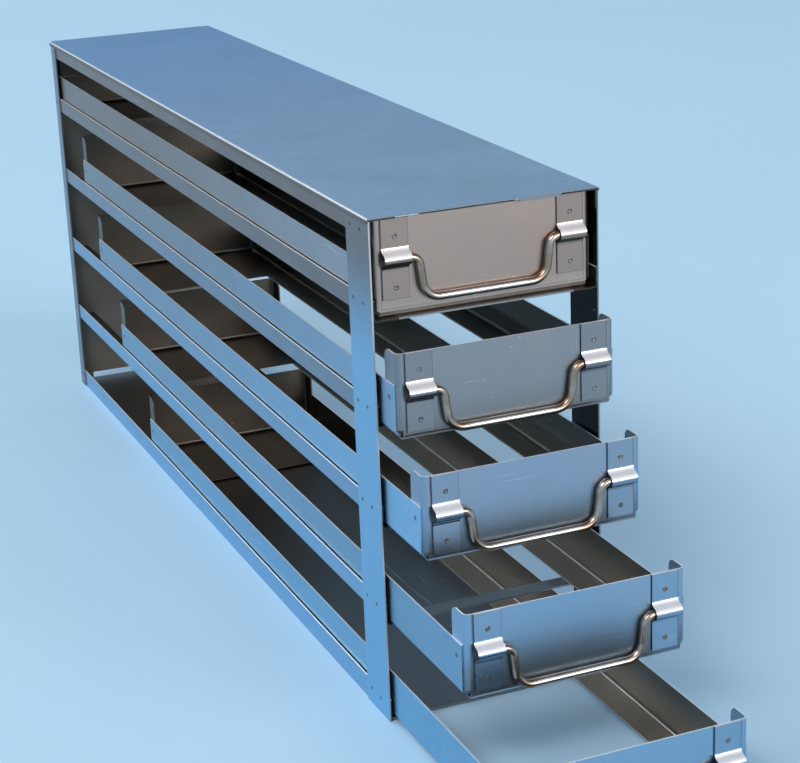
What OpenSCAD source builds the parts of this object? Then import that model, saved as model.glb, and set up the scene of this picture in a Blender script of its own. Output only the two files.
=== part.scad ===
// Sheet steel rack for an upright freezer, with five pull-out box drawers on welded rails.
// Millimetres. +Z is up, the drawers pull out along -Y, +X is the rack's right seen from the front.
// The origin is the middle of the whole assembly's outline, at the level of the surface it stands on.

/* [Rack] */
// Width over the side lips of the cover
rack_w = 139.7; // [132:0.1:170]
// Depth of the frame, front edge to back
rack_d = 698.5; // [560:0.5:760]
// Height from the rail of one drawer to the rail of the next
level_pitch = 59.6; // [59:0.1:74]
// Height from the top drawer's rail to the top of the cover
top_bay_h = 58.1; // [57:0.1:74]
// Underside of the lowest rail above the surface that the rack stands on
base_lift = 1.5; // [1.4:0.1:6]

/* [Sheet metal] */
// Sheet thickness of every folded piece
sheet = 0.9; // [0.7:0.1:1.1]
// Outer radius of the sharp bends in the frame
frame_bend_r = 1.8; // [1.4:0.1:3]
// Outer radius of the soft bends in the drawers
drawer_bend_r = 3.2; // [2:0.1:4]

/* [Frame] */
// Width of the front post strips
post_w = 33; // [20:1:60]
// Height of the upright face of a rail
rail_face_h = 12; // [8:0.5:20]
// Width of the ledge that a drawer slides on
ledge_w = 15; // [10:0.5:22]
// Height of the upright face of the rails under the cover
top_face_h = 11.4; // [8:0.1:16]
// Height of the strips along the foot of both sides
foot_face_h = 13.6; // [8:0.1:20]
// Depth of the strips that tie two rails together at the front
tie_d = 11; // [6:0.5:30]
// Height of the lips along both sides of the cover
cover_lip_h = 3.5; // [2.5:0.1:8]
// Radius at the ends of the cover's side lips
lip_end_r = 3; // [1:0.5:3]
// Width of the tab folded down from the cover's front edge
tab_w = 25; // [8:0.5:40]
// Distance from the middle of the rack to the middle of that tab
tab_side = 33; // [0:0.5:45]
// Gap between the tab and the top drawer's front, which slides under it
tab_gap = 0.25; // [0.15:0.05:0.6]
// Depth of the back panel's side flanges
back_flange_d = 13; // [8:0.5:30]
// Width of the back panel's two feet
back_foot_w = 11; // [8:0.5:30]
// Height of the slot between those feet, above the standing surface
back_slot_z = 7; // [4:0.5:30]

/* [Drawers] */
// Running gap between a drawer's side wall and the rail's face
run_gap = 0.75; // [0.4:0.05:1.5]
// Height of a drawer's side walls
wall_h = 29.1; // [16:0.1:38]
// Width of the floor ledge along each side wall
floor_ledge_w = 18; // [10:0.5:40]
// Distance from the front face to the end of the side wall, and the same at the rear
wall_setback = 3; // [1:0.5:6]
// Free height above the front of each lower drawer
front_room = 11.6; // [9:0.1:20]
// Slit above the top drawer's front
top_front_gap = 1.8; // [1.2:0.1:8]
// Free height above the rear of each lower drawer
rear_room = 10.6; // [9:0.1:20]
// Height from the rear of the top drawer to the top of the cover
top_rear_room = 9.1; // [4:0.1:20]
// Depth of the front panel's side flanges
front_flange_d = 16; // [10:0.5:30]
// Depth of the rear panel's side flanges
rear_flange_d = 13; // [10:0.5:30]
// Radius at the upper corner of the side flanges
flange_corner_r = 5; // [1:0.5:8]
// Depth of the lip folded in under the front panel
lip_d = 8; // [5:0.5:12]
// Gap between that lip and the ledge it passes under
lip_gap = 0.4; // [0.2:0.05:0.4]
// Height of the top drawer's lip above the ledge
top_lip_gap = 0.1; // [0.05:0.05:0.4]
// Depth of the floor plate at the rear of a drawer
rear_floor_d = 85; // [20:1:200]
// Free depth behind the lower drawers when they are shut
back_room = 42.7; // [2:0.1:120]
// Free depth behind the top drawer when it is shut
top_back_room = 0.6; // [0.3:0.1:20]
// Distance that the top drawer's front lies behind the rack's front edge
top_setback = 4; // [1:0.5:10]
// Gap between the bend at the foot of a shut front panel and the ends of the rails
shut_gap = 0.2; // [0.05:0.05:1]

/* [Handles] */
// Width of the straps that hold a handle
strap_w = 16; // [10:0.5:20]
// How far the straps reach below their loops' middles
strap_foot_drop = 22.8; // [12:0.1:24]
// Distance from the front panel's side to a strap
strap_edge_in = 4.8; // [4:0.1:12]
// Height of the loops' middles above the foot of the lower fronts
pivot_rise = 27.3; // [27:0.1:30]
// Height of the loops' middles above the foot of the top front
top_pivot_rise = 32.4; // [27:0.1:36]
// Radius of the bend where the loop leaves the strap
loop_fillet_r = 3; // [1:0.1:4]
// Diameter of the handle wire
wire_d = 4.8; // [3:0.1:6]
// Gap round the wire in its loops and behind it
wire_gap = 0.3; // [0.2:0.05:0.6]
// Distance from the strap's outer edge in to the end of the wire
wire_end_in = 3.6; // [1:0.1:6]
// Distance from a strap's inner edge to the handle's upper corner
bail_side_gap = 5.1; // [5:0.1:10]
// How far each leg of the handle leans inwards on its way down
bail_draw_in = 3; // [0:0.1:8]
// Drop of the handle from its pivot to the bottom bar
bail_h = 24; // [18:0.5:28]
// Bend radius at the upper corners, on the wire's middle line
bail_top_r = 5.6; // [3.5:0.1:5.6]
// Bend radius at the lower corners, on the wire's middle line
bail_low_r = 10; // [4:0.1:10.5]
// How much the bends thin the wire, on its radius
bend_thin = 0.02; // [0.01:0.005:0.05]

/* [Open drawers] */
// How far the top drawer is pulled out
open_1 = 0; // [0:1:500]
// How far the second drawer is pulled out
open_2 = 21.1; // [0:0.1:500]
// How far the third drawer is pulled out
open_3 = 50.9; // [0:0.1:500]
// How far the fourth drawer is pulled out
open_4 = 99.7; // [0:0.1:500]
// How far the bottom drawer is pulled out
open_5 = 164.7; // [0:0.1:500]

/* [Hidden] */

$fn = 48;
// Extra depth of every cut past the face it starts from
overrun = 1;
// Small extra height between a wall's bend and the flange that lies inside the wall
bend_clear = 0.5;
// Angle by which each end of a bend reaches into the straight wire, in degrees
end_turn = 1;
// Width of the hairline steps that keep rounded faces from only just touching
hairline = 0.02;

// Drawers count from the top, so drawer 5 lies on the base plate
drawers = 5;
left = -1;
right = 1;
opened = [open_1, open_2, open_3, open_4, open_5];

// Half widths of the pieces that lie side by side, from the outside in
lip_x = rack_w / 2;
post_x = lip_x - sheet;
rail_x = post_x - sheet;
wall_x = rail_x - sheet - run_gap;
panel_x = wall_x - sheet;
ledge_x = rail_x - ledge_w;
low_panel_x = wall_x - drawer_bend_r - bend_clear;

// Heights
rack_h = base_lift + (drawers - 1) * level_pitch + top_bay_h;
under_cover = rack_h - sheet;
post_top = rack_h - frame_bend_r;
function level(k) = base_lift + (drawers - k) * level_pitch;
function seat(k) = level(k) + sheet;
function front_bottom(k) = k == 1 ? seat(k) + top_lip_gap : level(k) - lip_gap - sheet;
function front_top(k) = k == 1 ? under_cover - top_front_gap : level(k) + level_pitch - front_room;
function rear_top(k) = k == 1 ? rack_h - top_rear_room : level(k) + level_pitch - rear_room;
function flange_foot(k) = seat(k) + drawer_bend_r + bend_clear;
function pivot_z(k) = front_bottom(k) + (k == 1 ? top_pivot_rise : pivot_rise);

// Depths: the inner face of the back panel, and each drawer's front and rear faces
back_y = rack_d - sheet;
inner_bend_r = drawer_bend_r - sheet;
bend_reach = drawer_bend_r - sqrt(pow(inner_bend_r, 2) - pow(inner_bend_r - lip_gap, 2));
shut_y = -bend_reach - shut_gap;
low_len = back_y - back_room - shut_y;
top_len = back_y - top_back_room - top_setback;
function face_y(k) = (k == 1 ? top_setback : shut_y) - opened[k - 1];
function rear_y(k) = face_y(k) + (k == 1 ? top_len : low_len);

// Handle: the wire's middle line lies pivot_out in front of the panel
wire_r = wire_d / 2;
pivot_out = wire_r + wire_gap;
loop_r = pivot_out + sheet;
loop_reach = pivot_out + loop_r;
flare_out = sheet + loop_fillet_r;
flare_z = sqrt(pow(loop_r + loop_fillet_r, 2) - pow(flare_out - pivot_out, 2));
strap_outer_x = panel_x - strap_edge_in;
strap_inner_x = strap_outer_x - strap_w;
wire_end_x = strap_outer_x - wire_end_in;
bail_top_x = strap_inner_x - bail_side_gap;
bail_low_x = bail_top_x - bail_draw_in;
lean = atan2(bail_draw_in, bail_h);
top_tangent = bail_top_r * tan((90 - lean) / 2);
low_tangent = bail_low_r * tan((90 - lean) / 2);
leg_len = bail_h / cos(lean) - top_tangent - low_tangent;

// The origin lies halfway between the foremost loop and the back
front_reach = loop_reach - min([for (k = [1:drawers]) face_y(k)]);
mid_y = (rack_d - front_reach) / 2;

module placed() {
    translate([0, -mid_y, 0]) children();
}

module on_side(s) {
    if (s < 0) mirror([1, 0, 0]) children();
    else children();
}

// Outlines drawn in X and Z, run from one depth to another
module run_y(y0, y1) {
    translate([0, y1, 0]) rotate([90, 0, 0]) linear_extrude(y1 - y0) children();
}

// Outlines drawn in Y and Z, run from one side to the other
module run_x(x0, x1) {
    translate([x0, 0, 0]) rotate([90, 0, 90]) linear_extrude(x1 - x0) children();
}

// Outlines drawn in X and Y, run upwards
module run_z(z0, z1) {
    translate([0, 0, z0]) linear_extrude(z1 - z0) children();
}

module block(x0, x1, y0, y1, z0, z1) {
    translate([x0, y0, z0]) cube([x1 - x0, y1 - y0, z1 - z0]);
}

// A folded angle with its outer corner at the origin and its arms along +X and +Y
module angle_outline(w, h, t, r) {
    translate([r, 0]) square([w - r, t]);
    translate([0, r]) square([t, h - r]);
    intersection() {
        difference() {
            translate([r, r]) circle(r);
            translate([r, r]) circle(r - t);
        }
        square([r, r]);
    }
}

// A folded channel, open towards +Y
module channel_outline(half_w, d, t, r) {
    for (s = [0, 1]) mirror([s, 0]) translate([-half_w, 0]) angle_outline(half_w, d, t, r);
}

// What is cut off a square corner at the origin, whose sides run along +X and +Y, to round it
module corner_cut_outline(r, over) {
    difference() {
        translate([-over, -over]) square([r + over, r + over]);
        translate([r, r]) circle(r);
    }
}

// Frame

module top_cover() {
    lip_z = rack_h - cover_lip_h;
    end_r = min(lip_end_r, cover_lip_h - frame_bend_r + sheet);
    color([0.55, 0.61, 0.68]) placed() {
        difference() {
            translate([0, 0, rack_h]) mirror([0, 0, 1]) run_y(0, rack_d)
                channel_outline(lip_x, cover_lip_h, sheet, frame_bend_r);
            for (s = [0, 1]) translate([0, s * rack_d, lip_z]) mirror([0, s, 0])
                run_x(-lip_x - overrun, lip_x + overrun) corner_cut_outline(end_r, overrun);
        }
        block(tab_side - tab_w / 2, tab_side + tab_w / 2, 0, sheet, front_top(1) + tab_gap, under_cover);
    }
}

module base_plate() {
    color([0.30, 0.29, 0.29]) placed()
        block(-rail_x + sheet, rail_x - sheet, 0, back_y, base_lift, base_lift + sheet);
}

module back_panel() {
    slot_x = post_x - back_foot_w;
    color([0.45, 0.43, 0.41]) placed() {
        difference() {
            translate([0, rack_d, 0]) mirror([0, 1, 0]) run_z(0, post_top)
                channel_outline(post_x, back_flange_d, sheet, frame_bend_r);
            block(-slot_x, slot_x, back_y - overrun, rack_d + overrun, -overrun, back_slot_z);
        }
        block(-rail_x, rail_x, back_y, rack_d, post_top, under_cover);
    }
}

module front_post(s) {
    color([0.47, 0.62, 0.76]) placed() on_side(s) block(rail_x, post_x, 0, post_w, 0, post_top);
}

// The pair of angles right under the cover, with their ledges turned in against it
module top_rail(s) {
    color([0.50, 0.62, 0.74]) placed() on_side(s) translate([rail_x, 0, under_cover])
        mirror([1, 0, 0]) mirror([0, 0, 1]) run_y(0, back_y)
        angle_outline(ledge_w, top_face_h, sheet, frame_bend_r);
}

// Rails 1 to 4 carry drawers 1 to 4
module rail(k, s) {
    color([0.50, 0.62, 0.74]) placed() on_side(s) translate([rail_x, 0, level(k)])
        mirror([1, 0, 0]) run_y(0, back_y)
        angle_outline(ledge_w, rail_face_h, sheet, frame_bend_r);
}

// The strips along the foot of both sides, which stand on edge beside the base plate
module foot_rail(s) {
    color([0.50, 0.62, 0.74]) placed() on_side(s) block(rail_x - sheet, rail_x, 0, back_y, 0, foot_face_h);
}

module front_tie(k) {
    color([0.52, 0.52, 0.52]) placed() block(-ledge_x, ledge_x, 0, tie_d, level(k), level(k) + sheet);
}

// Drawers

// A side wall with the floor ledge folded inwards at its foot. The top drawer's lip lies
// on the level of the floor ledge, so the ledge starts behind it there.
module drawer_wall(k, s) {
    y0 = face_y(k) + wall_setback;
    y1 = rear_y(k) - wall_setback;
    lip_end = face_y(k) + lip_d + bend_clear;
    color([0.45, 0.55, 0.65]) placed() on_side(s) difference() {
        translate([wall_x, 0, seat(k)]) mirror([1, 0, 0]) run_y(y0, y1)
            angle_outline(floor_ledge_w, wall_h, sheet, drawer_bend_r);
        if (k == 1)
            block(wall_x - floor_ledge_w - overrun, wall_x + overrun, y0 - overrun, lip_end,
                seat(k) - overrun, flange_foot(k));
    }
}

// An end panel with side flanges, and a lip folded in between its lower corners.
// Its outer face is the plane y = 0 and its flanges run along +Y.
module end_panel(bottom, foot, top, flange_d, fold_d) {
    difference() {
        run_z(foot, top) channel_outline(panel_x, flange_d, sheet, drawer_bend_r);
        translate([0, flange_d, top]) mirror([0, 1, 0]) mirror([0, 0, 1])
            run_x(-panel_x - overrun, panel_x + overrun) corner_cut_outline(flange_corner_r, overrun);
    }
    run_x(-low_panel_x, low_panel_x) translate([0, bottom])
        angle_outline(fold_d, foot - bottom, sheet, drawer_bend_r);
}

module drawer_front(k) {
    color([0.66, 0.64, 0.61]) placed() translate([0, face_y(k), 0])
        end_panel(front_bottom(k), flange_foot(k), front_top(k), front_flange_d, lip_d);
}

// The rear panel's fold is the floor plate, which lies on both floor ledges
module drawer_rear(k) {
    floor_z = seat(k) + sheet;
    color([0.40, 0.38, 0.37]) placed() translate([0, rear_y(k), 0]) mirror([0, 1, 0])
        end_panel(floor_z, floor_z + drawer_bend_r + bend_clear, rear_top(k), rear_flange_d, rear_floor_d);
}

// What lies between the panel and a bend that swings off it to the middle of the loop.
// The bend's own middle is at [-flare_out, flare_z], and reach goes past the panel's face.
module flare_outline(r, reach) {
    difference() {
        polygon([[reach, 0], [reach, flare_z], [-flare_out, flare_z], [-pivot_out, 0]]);
        translate([-flare_out, flare_z]) circle(r);
    }
}

// Section of a strap in Y and Z, with the loop's middle at height 0 and the panel at y = 0.
// The sheet swings off the panel, goes round the wire and comes back in the same way.
module strap_outline(low_z, high_z) {
    difference() {
        union() {
            translate([-sheet, low_z]) square([sheet, high_z - low_z]);
            translate([-pivot_out, 0]) circle(loop_r);
            for (s = [0, 1]) mirror([0, s]) flare_outline(loop_fillet_r - hairline, 0);
        }
        translate([-pivot_out, 0]) circle(pivot_out);
        for (s = [0, 1]) mirror([0, s]) flare_outline(flare_out - hairline, overrun);
    }
}

module drawer_strap(k, s) {
    color([0.70, 0.69, 0.68]) placed() on_side(s)
        translate([0, face_y(k), pivot_z(k)])
        run_x(strap_inner_x, strap_outer_x) strap_outline(-strap_foot_drop, front_top(k) - pivot_z(k));
}

// A bend of the wire in X and Z about the point [cx, cz]. Both ends lie a hair inside the straight runs.
module wire_arc(cx, cz, r, from, sweep) {
    translate([cx, 0, cz]) rotate([90, 0, 0]) rotate([0, 0, from - end_turn])
        rotate_extrude(angle = sweep + 2 * end_turn) translate([r, 0]) circle(wire_r - bend_thin);
}

// The right half of the handle, hanging from its pivot line at the origin
module half_handle() {
    leg_x = bail_top_x - top_tangent * sin(lean);
    leg_z = -top_tangent * cos(lean);
    bar_x = bail_low_x - low_tangent;
    translate([bail_top_x + top_tangent, 0, 0]) rotate([0, 90, 0])
        cylinder(h = wire_end_x - bail_top_x - top_tangent, r = wire_r);
    wire_arc(bail_top_x + top_tangent, -bail_top_r, bail_top_r, 90, 90 - lean);
    translate([leg_x, 0, leg_z]) rotate([0, 180 + lean, 0]) cylinder(h = leg_len, r = wire_r);
    wire_arc(bar_x, bail_low_r - bail_h, bail_low_r, 270, 90 - lean);
}

module drawer_handle(k) {
    bar_x = bail_low_x - low_tangent;
    color([0.72, 0.64, 0.52]) placed() translate([0, face_y(k) - pivot_out, pivot_z(k)]) {
        half_handle();
        mirror([1, 0, 0]) half_handle();
        translate([-bar_x, 0, -bail_h]) rotate([0, 90, 0]) cylinder(h = 2 * bar_x, r = wire_r);
    }
}

top_cover();
base_plate();
back_panel();
front_post(left);  // left_front_post
front_post(right);  // right_front_post
top_rail(left);  // left_top_rail
top_rail(right);  // right_top_rail
rail(1, left);  // left_rail_1
rail(1, right);  // right_rail_1
rail(2, left);  // left_rail_2
rail(2, right);  // right_rail_2
rail(3, left);  // left_rail_3
rail(3, right);  // right_rail_3
rail(4, left);  // left_rail_4
rail(4, right);  // right_rail_4
foot_rail(left);  // left_foot_rail
foot_rail(right);  // right_foot_rail
front_tie(1);  // front_tie_1
front_tie(2);  // front_tie_2
front_tie(3);  // front_tie_3
front_tie(4);  // front_tie_4
drawer_wall(1, left);  // drawer_1_left_wall
drawer_wall(1, right);  // drawer_1_right_wall
drawer_front(1);  // drawer_1_front
drawer_rear(1);  // drawer_1_rear
drawer_strap(1, left);  // drawer_1_left_strap
drawer_strap(1, right);  // drawer_1_right_strap
drawer_handle(1);  // drawer_1_handle
drawer_wall(2, left);  // drawer_2_left_wall
drawer_wall(2, right);  // drawer_2_right_wall
drawer_front(2);  // drawer_2_front
drawer_rear(2);  // drawer_2_rear
drawer_strap(2, left);  // drawer_2_left_strap
drawer_strap(2, right);  // drawer_2_right_strap
drawer_handle(2);  // drawer_2_handle
drawer_wall(3, left);  // drawer_3_left_wall
drawer_wall(3, right);  // drawer_3_right_wall
drawer_front(3);  // drawer_3_front
drawer_rear(3);  // drawer_3_rear
drawer_strap(3, left);  // drawer_3_left_strap
drawer_strap(3, right);  // drawer_3_right_strap
drawer_handle(3);  // drawer_3_handle
drawer_wall(4, left);  // drawer_4_left_wall
drawer_wall(4, right);  // drawer_4_right_wall
drawer_front(4);  // drawer_4_front
drawer_rear(4);  // drawer_4_rear
drawer_strap(4, left);  // drawer_4_left_strap
drawer_strap(4, right);  // drawer_4_right_strap
drawer_handle(4);  // drawer_4_handle
drawer_wall(5, left);  // drawer_5_left_wall
drawer_wall(5, right);  // drawer_5_right_wall
drawer_front(5);  // drawer_5_front
drawer_rear(5);  // drawer_5_rear
drawer_strap(5, left);  // drawer_5_left_strap
drawer_strap(5, right);  // drawer_5_right_strap
drawer_handle(5);  // drawer_5_handle
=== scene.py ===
"""Finishes, spot welds, studio and camera for a freezer rack with five sliding drawers.

The rack is folded from thin satin stainless sheet. Every solid of the frame keeps its shape
and gets the finish of its sheet, and the small spot welds that hold the sheets together are
added on top of it. The sheets' blue and brown tones, their darker insides and their bright
edges and bends are partly painted reflection, shade and highlight.
"""

import logging
import math
from dataclasses import dataclass, field
from enum import Enum
from typing import ClassVar

import bmesh
import bpy
from mathutils import Euler, Matrix, Vector


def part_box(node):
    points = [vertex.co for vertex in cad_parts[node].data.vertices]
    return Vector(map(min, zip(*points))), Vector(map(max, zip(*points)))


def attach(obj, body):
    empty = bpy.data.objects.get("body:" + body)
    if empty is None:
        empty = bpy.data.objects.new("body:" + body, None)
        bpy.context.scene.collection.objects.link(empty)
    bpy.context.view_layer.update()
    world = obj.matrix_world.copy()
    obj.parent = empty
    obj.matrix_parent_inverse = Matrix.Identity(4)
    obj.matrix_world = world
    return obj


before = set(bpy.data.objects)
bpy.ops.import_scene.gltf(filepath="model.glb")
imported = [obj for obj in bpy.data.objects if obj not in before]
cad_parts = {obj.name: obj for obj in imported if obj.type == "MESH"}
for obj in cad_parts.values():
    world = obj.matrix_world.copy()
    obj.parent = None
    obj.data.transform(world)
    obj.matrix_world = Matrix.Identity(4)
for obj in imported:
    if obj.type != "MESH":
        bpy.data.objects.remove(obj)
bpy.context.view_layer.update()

LOG = logging.getLogger("freezer_rack")

Colour = tuple[float, float, float]
Point = tuple[float, float, float]
Span = tuple[float, float]

MM = 0.001
SHEET = 0.9 * MM
TOP_SLACK = 0.05 * MM
TIP_SLACK = 0.1 * MM
RAIL_LEVELS = 4

# Raises the X of the rack's sides to about 1, so that mostly its sign tells outward from inward.
FLANK_SCALE = 18.0


class Facing(Enum):
    """The way a sheet's visible face looks."""

    LEFT = (-1, 0, 0)
    RIGHT = (1, 0, 0)
    FRONT = (0, -1, 0)

    def turn(self) -> Matrix:
        """The turn that takes an upright weld onto this face."""
        return Vector((0, 0, 1)).rotation_difference(Vector(self.value)).to_matrix().to_4x4()


class Side(Enum):
    """The two sides of the rack, by the sign of their X."""

    LEFT = -1
    RIGHT = 1

    @property
    def word(self) -> str:
        """The side's name in the names of the sheets."""
        return self.name.lower()

    @property
    def facing(self) -> Facing:
        """The way the outer faces of this side look."""
        return Facing[self.name]

    def outer_x(self, node: str) -> float:
        """The X of a node's outer face on this side."""
        low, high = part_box(node)
        return low.x if self is Side.LEFT else high.x


class Grain(Enum):
    """The axis along which the sheet was rolled and brushed."""

    ACROSS = 0
    DEPTH = 1
    UPRIGHT = 2


class Way(Enum):
    """The way a part of a folded sheet looks, as the axis and the sign of its normal."""

    OUTWARD = (0, 1)
    INWARD = (0, -1)
    SIDEWAYS = (0, 0)
    FRONT = (1, -1)
    REAR = (1, 1)
    UP = (2, 1)
    DOWN = (2, -1)


@dataclass(frozen=True)
class Pattern:
    """A soft random pattern: features a metre, finer layers, their weight and how far it is warped."""

    scale: float
    detail: float = 2.0
    rough: float = 0.5
    bend: float = 0.0


CLOUDS = Pattern(11.0, 4.0, 0.62, 0.4)
SMEARS = Pattern(46.0, 3.0, 0.55, 1.2)
SPECKS = Pattern(1500.0, 2.0, 0.6)
GRAIN = Pattern(1900.0, 2.0, 0.55)
WARM_TINT = Pattern(19.0, 3.0, 0.6, 0.8)
SCRATCHED_PATCHES = Pattern(7.0)
FIRST_SCRATCHES = Pattern(420.0, 1.0, 0.4)
SECOND_SCRATCHES = Pattern(380.0, 1.0, 0.4)
WIRE_GRAIN = Pattern(2600.0)
WIRE_CLOUDS = Pattern(60.0, 3.0, 0.6)
WELD_CLOUDS = Pattern(620.0, 3.0, 0.6)
WELD_SPECKS = Pattern(2400.0, 2.0, 0.6)
FLOOR_FIBRES = Pattern(900.0)
FLOOR_CLOUDS = Pattern(1.1)


class Channel:
    """A number that changes over a surface, with ordinary arithmetic."""

    def __init__(self, board: "Board", socket: bpy.types.NodeSocket) -> None:
        """Keeps the socket that carries the number."""
        self.board = board
        self.socket = socket

    def __add__(self, other: "Channel | float") -> "Channel":
        """Sum."""
        return self.board.sum_up("ADD", self, other)

    def __radd__(self, other: float) -> "Channel":
        """Sum with a plain number first."""
        return self.board.sum_up("ADD", other, self)

    def __sub__(self, other: "Channel | float") -> "Channel":
        """Difference."""
        return self.board.sum_up("SUBTRACT", self, other)

    def __rsub__(self, other: float) -> "Channel":
        """Difference from a plain number."""
        return self.board.sum_up("SUBTRACT", other, self)

    def __mul__(self, other: "Channel | float") -> "Channel":
        """Product."""
        return self.board.sum_up("MULTIPLY", self, other)

    def __abs__(self) -> "Channel":
        """Distance from zero."""
        return self.board.sum_up("ABSOLUTE", self, 0.0)

    def swing(self, amount: float) -> "Channel":
        """Turns a pattern from 0 to 1 into one about zero, as wide as the amount."""
        return (self - 0.5) * amount

    def between(self, low: float, high: float) -> "Channel":
        """Ramps smoothly from 0 at low to 1 at high.

        Args:
            low: The value where the ramp starts.
            high: The value where the ramp ends, above or below low.

        Returns:
            The ramped value, from 0 to 1.
        """
        start, end, flip = (low, high, False) if low < high else (high, low, True)
        node = self.board.add(
            "ShaderNodeMapRange",
            {"interpolation_type": "SMOOTHSTEP"},
            {"Value": self, "From Min": start, "From Max": end, "To Min": 0.0, "To Max": 1.0},
        )
        ramped = Channel(self.board, node.outputs["Result"])
        return 1.0 - ramped if flip else ramped


class Board:
    """The nodes of one node tree."""

    def __init__(self, tree: bpy.types.NodeTree) -> None:
        """Takes a node tree and empties it."""
        self.tree = tree
        self.tree.nodes.clear()

    def add(self, kind: str, settings: dict | None = None, inputs: dict | None = None) -> bpy.types.Node:
        """Adds one node.

        Args:
            kind: The node's type.
            settings: Its own settings, set first.
            inputs: Values or links of its sockets, by name or by number.

        Returns:
            The new node.
        """
        node = self.tree.nodes.new(kind)
        for key, setting in (settings or {}).items():
            setattr(node, key, setting)
        for key, feed in (inputs or {}).items():
            self.plug(feed, node.inputs[key])
        return node

    def plug(self, feed: object, socket: bpy.types.NodeSocket) -> None:
        """Links a channel or socket, or sets a plain value.

        Args:
            feed: A Channel, a socket or a value.
            socket: The input that takes it.
        """
        if isinstance(feed, Channel):
            self.tree.links.new(feed.socket, socket)
        elif isinstance(feed, bpy.types.NodeSocket):
            self.tree.links.new(feed, socket)
        elif socket.type == "RGBA":
            socket.default_value = (*feed, 1.0)
        else:
            socket.default_value = feed

    def sum_up(self, operation: str, a: Channel | float, b: Channel | float) -> Channel:
        """Adds one Math node.

        Args:
            operation: The node's operation.
            a: First value.
            b: Second value.

        Returns:
            The result.
        """
        node = self.add("ShaderNodeMath", {"operation": operation}, {0: a, 1: b})
        return Channel(self, node.outputs[0])


class Surface(Board):
    """The node board of one material, which feeds one Principled shader."""

    def __init__(self, name: str) -> None:
        """Makes the material with its shader and output.

        Args:
            name: The material's name.
        """
        self.material = bpy.data.materials.new(name)
        self.material.use_nodes = True
        super().__init__(self.material.node_tree)
        self.shader = self.add("ShaderNodeBsdfPrincipled")
        self.add("ShaderNodeOutputMaterial", None, {"Surface": self.shader.outputs["BSDF"]})
        self.place = self.add("ShaderNodeTexCoord").outputs["Object"]

    def finish(
        self,
        colour: bpy.types.NodeSocket,
        rough: Channel,
        height: Channel,
        depth: float,
        metal: Channel | float,
    ) -> bpy.types.Material:
        """Feeds the shader.

        Args:
            colour: The base colour.
            rough: The roughness.
            height: The height pattern of the bump.
            depth: Its height of 1 in metres.
            metal: How metallic the surface is.

        Returns:
            The finished material.
        """
        bump = self.add("ShaderNodeBump", None, {"Height": height, "Distance": depth, "Strength": 1.0})
        feeds = {"Base Color": colour, "Roughness": rough, "Metallic": metal, "Normal": bump.outputs[0]}
        for name, feed in feeds.items():
            self.plug(feed, self.shader.inputs[name])
        return self.material

    def facing(self, way: Way, low: float = 0.45, high: float = 0.8) -> Channel:
        """Finds the faces that look one way.

        Args:
            way: The way they look.
            low: Share of the normal along that way at which the mask starts.
            high: Share at which it is full.

        Returns:
            1 on those faces and 0 on the others.
        """
        normal = self.add("ShaderNodeNewGeometry").outputs["True Normal"]
        split = self.add("ShaderNodeSeparateXYZ", None, {0: normal})
        number, sign = way.value
        share = Channel(self, split.outputs[number])
        if way is Way.SIDEWAYS:
            return abs(share).between(low, high)
        if way in (Way.OUTWARD, Way.INWARD):
            share = share * self.axis(0) * FLANK_SCALE
        return share.between(sign * low, sign * high)

    def axis(self, number: int) -> Channel:
        """The place on the surface along X (0), Y (1) or Z (2), in metres."""
        return Channel(self, self.add("ShaderNodeSeparateXYZ", None, {0: self.place}).outputs[number])

    def stretched(self, scale: Point, turn: float = 0.0) -> bpy.types.NodeSocket:
        """The place on the surface, stretched and turned for a directional pattern.

        Args:
            scale: Factors along X, Y and Z.
            turn: A tilt about every axis, in radians.

        Returns:
            The vector socket.
        """
        mapping = self.add(
            "ShaderNodeMapping",
            {"vector_type": "POINT"},
            {"Vector": self.place, "Scale": scale, "Rotation": (turn, turn, turn)},
        )
        return mapping.outputs[0]

    def draw(self, pattern: Pattern, place: bpy.types.NodeSocket | None = None) -> Channel:
        """Draws a soft random pattern.

        Args:
            pattern: The pattern's numbers.
            place: The coordinates it follows, the plain place if left out.

        Returns:
            The pattern, from 0 to 1.
        """
        inputs = {
            "Vector": place or self.place,
            "Scale": pattern.scale,
            "Detail": pattern.detail,
            "Roughness": pattern.rough,
            "Distortion": pattern.bend,
        }
        return Channel(self, self.add("ShaderNodeTexNoise", None, inputs).outputs[0])

    def blend(self, share: Channel, a: object, b: object) -> bpy.types.NodeSocket:
        """Mixes two colours.

        Args:
            share: Share of the second colour.
            a: First colour, as a socket or a tone.
            b: Second colour.

        Returns:
            The colour socket.
        """
        settings = {"data_type": "RGBA", "clamp_factor": True}
        return self.add("ShaderNodeMix", settings, {0: share, 6: a, 7: b}).outputs[2]


@dataclass(frozen=True)
class PressAndShadowLines:
    """Fine dark lines that run inside the sides and the foot of a panel or of both straps: pressed
    creases in painted shade on a panel, painted shadow along the edges of the straps.
    """

    left: float
    right: float
    foot: float
    inset: float = 4.2 * MM
    width: float = 0.38 * MM
    mirrored: bool = False

    def mark(self, board: Surface) -> Channel:
        """Draws the lines.

        Args:
            board: The panel's node board.

        Returns:
            1 on the lines and 0 away from them.
        """
        x = abs(board.axis(0)) if self.mirrored else board.axis(0)
        z = board.axis(2)
        low = self.foot + self.inset
        side = abs(x - (self.left + self.right) / 2) - ((self.right - self.left) / 2 - self.inset)
        upright = abs(side).between(self.width, 0.0) * z.between(low - self.width, low)
        level = abs(z - low).between(self.width, 0.0) * side.between(self.width, 0.0)
        return upright + level


@dataclass(frozen=True)
class Shading:
    """A slow change of painted reflection and shade along a sheet, up it or from front to rear."""

    foot: float
    top: float
    foot_tone: Colour
    axis: int = 2


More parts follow.
